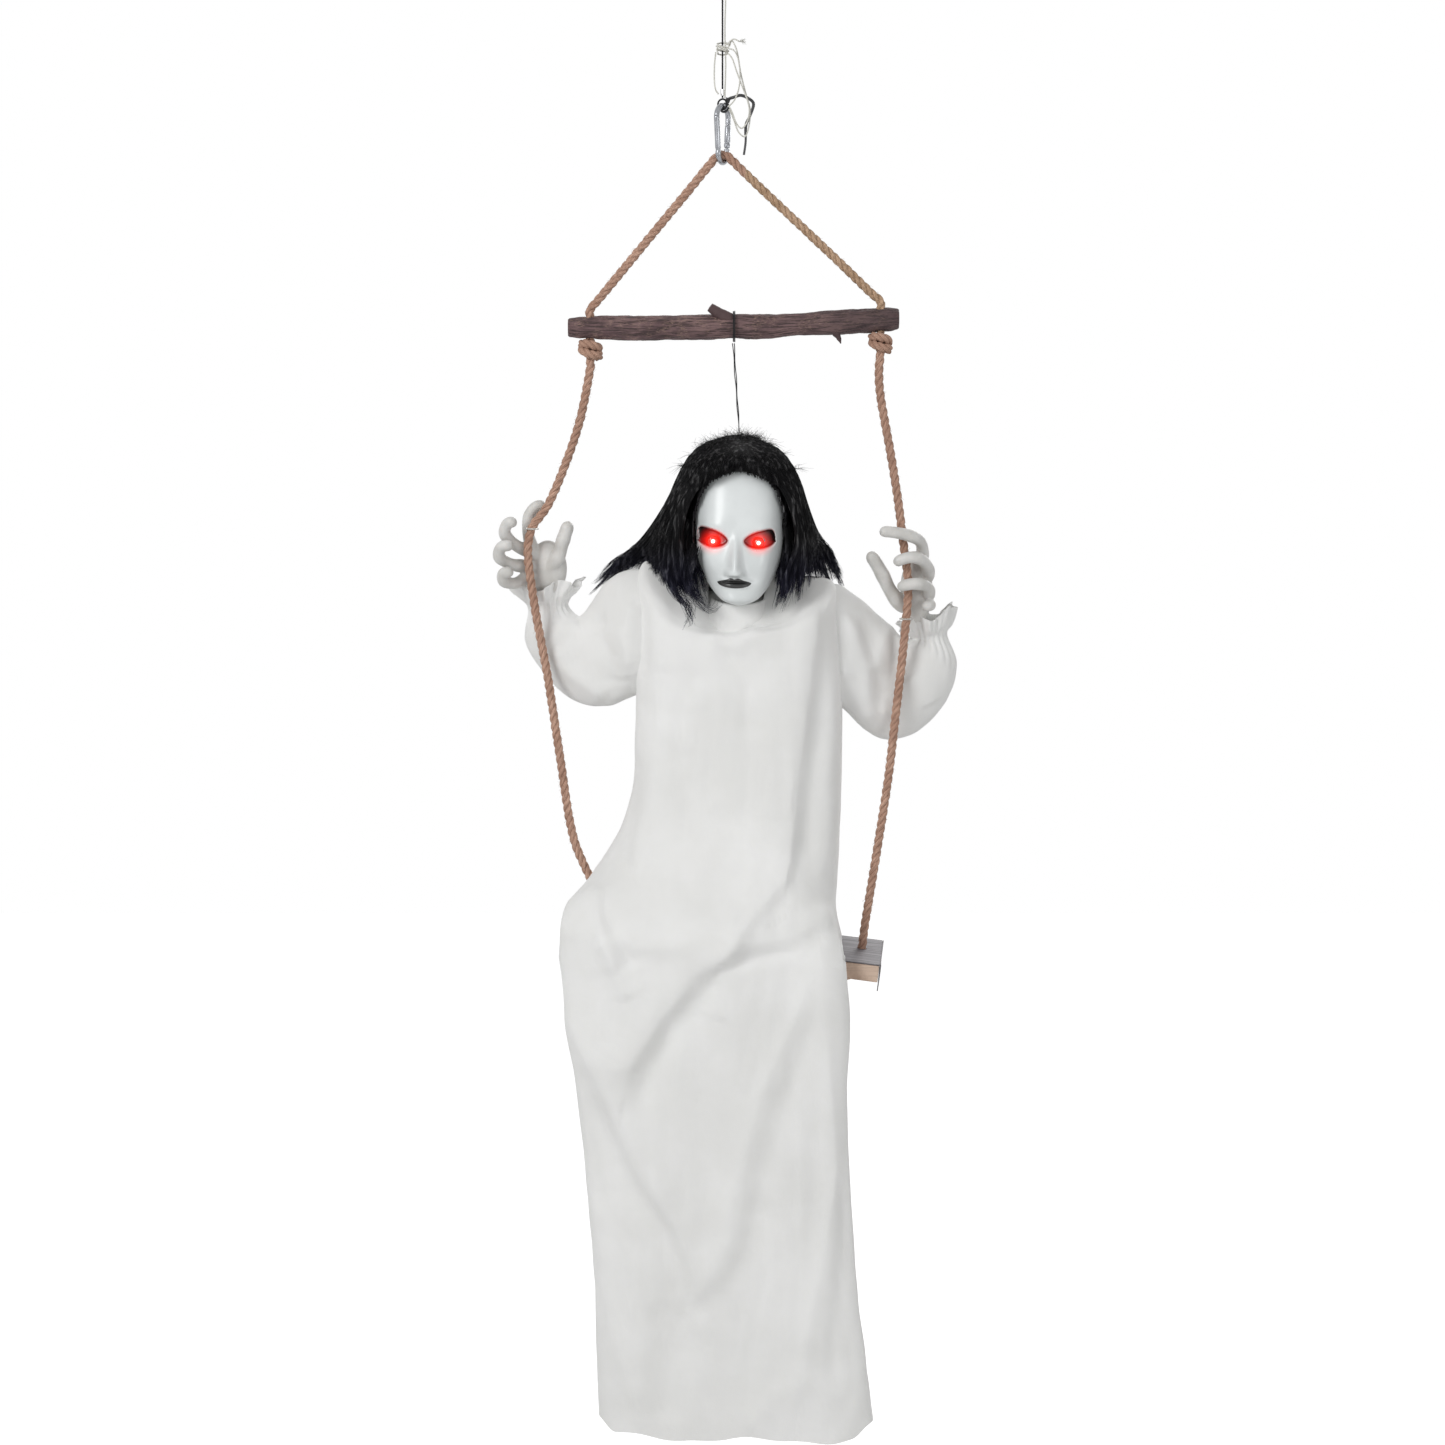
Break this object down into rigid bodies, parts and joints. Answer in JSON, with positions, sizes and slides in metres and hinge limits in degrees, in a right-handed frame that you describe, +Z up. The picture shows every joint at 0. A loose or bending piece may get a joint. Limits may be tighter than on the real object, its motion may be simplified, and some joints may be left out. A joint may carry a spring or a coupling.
{
  "type": "animated ghost figure on a rope swing",
  "caption": "Hanging gowned figure with a mask and long hair, seated on a rope swing under a branch, with a lit face and a kicking leg drive.",
  "frame": {"origin": "centre of the ceiling plate's top face, which bears on the ceiling", "axes": "+Z up, towards the ceiling; the figure's face looks to -Y; +X to the right of someone who looks at the face"},
  "size_m": [0.6244, 0.2867, 1.9762],
  "materials": {
    "galvanised_metal": "galvanised",
    "black_cord": "braided cord",
    "white_cord": "thin braided cord",
    "black_plastic": "moulded",
    "jute_rope": "laid three-strand rope",
    "bark": "spiral bark",
    "seat_foam": "foam board",
    "seat_print": "printed wood grain",
    "white_plastic": "glossy moulded",
    "glove_plastic": "moulded",
    "grey_plastic": "moulded",
    "steel": "turned",
    "gear_plastic": "moulded acetal",
    "battery_cell": "printed sleeve",
    "circuit_board": "solder mask",
    "red_lens": "lit lens",
    "gown_cloth": "thin woven polyester",
    "hair": "synthetic fibre"
  },
  "bodies": {
    "ceiling_mount": {"ceiling_plate": "galvanised_metal", "plate_screw_left": "galvanised_metal", "plate_screw_right": "galvanised_metal"},
    "hook": {"ceiling_hook": "galvanised_metal"},
    "line": {"hanging_line": "black_cord", "ferrule_upper": "galvanised_metal", "ferrule_lower": "galvanised_metal", "white_line": "white_cord", "white_knot": "white_cord", "white_loop_left": "white_cord", "white_loop_right": "white_cord"},
    "carabiner": {"carabiner_body": "galvanised_metal", "gate_pin": "galvanised_metal", "cable_tie": "black_plastic"},
    "gate": {"carabiner_gate": "galvanised_metal"},
    "yoke": {"rope_upper": "jute_rope", "branch": "bark", "string_loop": "black_cord"},
    "swing": {"rope_knot_left": "jute_rope", "rope_knot_right": "jute_rope", "rope_lower": "jute_rope", "head_string": "black_cord", "seat_board": "seat_foam", "seat_skin": "seat_print", "torso_front": "white_plastic", "torso_back": "white_plastic", "neck_post": "white_plastic", "battery_box": "black_plastic", "battery_cell_1": "battery_cell", "battery_cell_2": "battery_cell", "battery_cell_3": "battery_cell", "control_board": "circuit_board", "speaker": "black_plastic", "drive_base": "grey_plastic", "drive_cover": "grey_plastic", "leg_motor": "steel", "left_arm": "grey_plastic", "right_arm": "grey_plastic", "left_hand": "glove_plastic", "right_hand": "glove_plastic", "left_tie": "grey_plastic", "right_tie": "grey_plastic", "gown_body": "gown_cloth", "left_sleeve": "gown_cloth", "right_sleeve": "gown_cloth"},
    "head": {"face_mask": "white_plastic", "skull_back": "white_plastic", "wig": "hair", "left_eye_lens": "red_lens", "right_eye_lens": "red_lens", "eye_light_unit": "circuit_board"},
    "legs": {"cross_shaft": "steel", "sector_gear": "gear_plastic", "left_shin": "grey_plastic", "right_shin": "grey_plastic", "kick_bar": "grey_plastic", "gown_skirt": "gown_cloth"},
    "motor_pinion": {"pinion": "gear_plastic"},
    "switch_knob": {"mode_switch": "black_plastic"},
    "battery_cover": {"battery_door": "black_plastic"}
  },
  "joints": [
    {"name": "hook_swivel", "type": "hinge", "parent": "ceiling_mount", "child": "hook", "pos_m": [0, 0, -0.01], "axis": [0, 0, 1], "continuous": true},
    {"name": "line_swing", "type": "hinge", "parent": "hook", "child": "line", "pos_m": [0, 0, -0.0348], "axis": [1, 0, 0], "range_deg": [-15, 15]},
    {"name": "carabiner_pivot", "type": "hinge", "parent": "line", "child": "carabiner", "pos_m": [0, 0, -0.20965], "axis": [0.4695, 0.8829, 0], "range_deg": [-15, 15]},
    {"name": "gate_hinge", "type": "hinge", "parent": "carabiner", "child": "gate", "pos_m": [0.00608, 0.01144, -0.26072], "axis": [0.8829, -0.4695, 0], "range_deg": [0, 22], "stiffness_Nm_per_rad": 0.05, "springref_deg": -28.65},
    {"name": "sling_tilt", "type": "hinge", "parent": "carabiner", "child": "yoke", "pos_m": [0, 0, -0.28415], "axis": [0, 1, 0], "range_deg": [-8, 8]},
    {"name": "seat_swing", "type": "hinge", "parent": "yoke", "child": "swing", "pos_m": [0.017, 0, -0.51155], "axis": [0.9997, 0, 0.0251], "range_deg": [-12, 12]},
    {"name": "head_turn", "type": "hinge", "parent": "swing", "child": "head", "pos_m": [0.0225, 0.01, -0.79], "axis": [0, 0, 1], "range_deg": [-15, 15]},
    {"name": "leg_kick", "type": "hinge", "parent": "swing", "child": "legs", "pos_m": [-0.0012, -0.1097, -1.33], "axis": [-0.9976, 0.0698, 0], "range_deg": [-2, 15]},
    {"name": "pinion_spin", "type": "hinge", "parent": "swing", "child": "motor_pinion", "pos_m": [-0.0006, -0.10153, -1.29909], "axis": [-0.9976, 0.0698, 0], "range_deg": [-50, 10]},
    {"name": "switch_slide", "type": "slide", "parent": "swing", "child": "switch_knob", "axis": [0.9976, -0.0698, 0], "range_m": [0, 0.004]},
    {"name": "battery_door_slide", "type": "slide", "parent": "swing", "child": "battery_cover", "axis": [0, 0, 1], "range_m": [0, 0.02]}
  ],
  "couplings": [
    {"joint": "pinion_spin", "follows": "leg_kick", "ratio": -3}
  ]
}
